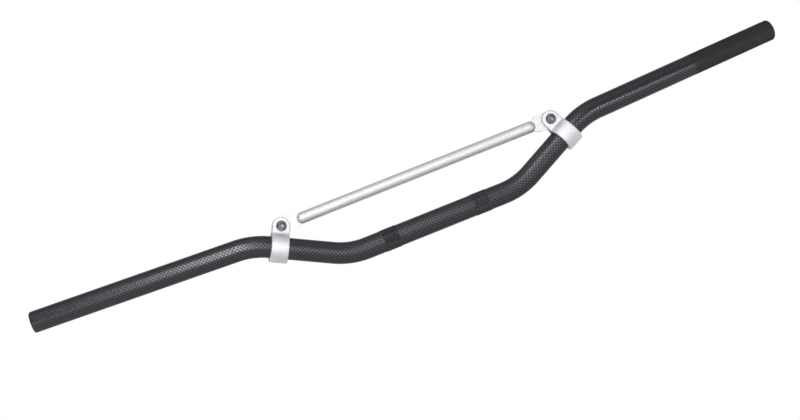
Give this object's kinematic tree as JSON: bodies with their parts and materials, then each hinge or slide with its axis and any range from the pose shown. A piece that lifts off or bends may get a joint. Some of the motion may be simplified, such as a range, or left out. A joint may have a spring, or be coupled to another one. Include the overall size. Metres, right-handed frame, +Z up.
{
  "type": "motorcycle handlebar",
  "caption": "Bent tube handlebar with swept-back grip ends, knurled clamp bands and a round crossbar bolted between two one-piece clamps.",
  "frame": {"origin": "middle of the straight centre section, on the tube's axis, midway between the two knurled clamp bands", "axes": "+X along the bar towards the rider's left hand as seen from the front (image right), +Z up, the way the risers climb, +Y backwards, the way the grips sweep; the screw heads face -Y"},
  "size_m": [0.8332, 0.0665, 0.0777],
  "materials": {
    "tube_finish": "satin",
    "crossbar_alloy": "satin",
    "clamp_alloy": "satin",
    "screw_steel": "satin",
    "zinc_steel": "satin"
  },
  "bodies": {
    "root": {"handlebar_tube": "tube_finish", "crossbar": "crossbar_alloy", "clamp_left": "clamp_alloy", "clamp_right": "clamp_alloy", "screw_left": "screw_steel", "screw_right": "screw_steel", "washer_left": "zinc_steel", "washer_right": "zinc_steel", "lock_nut_left": "zinc_steel", "lock_nut_right": "zinc_steel"}
  },
  "joints": []
}
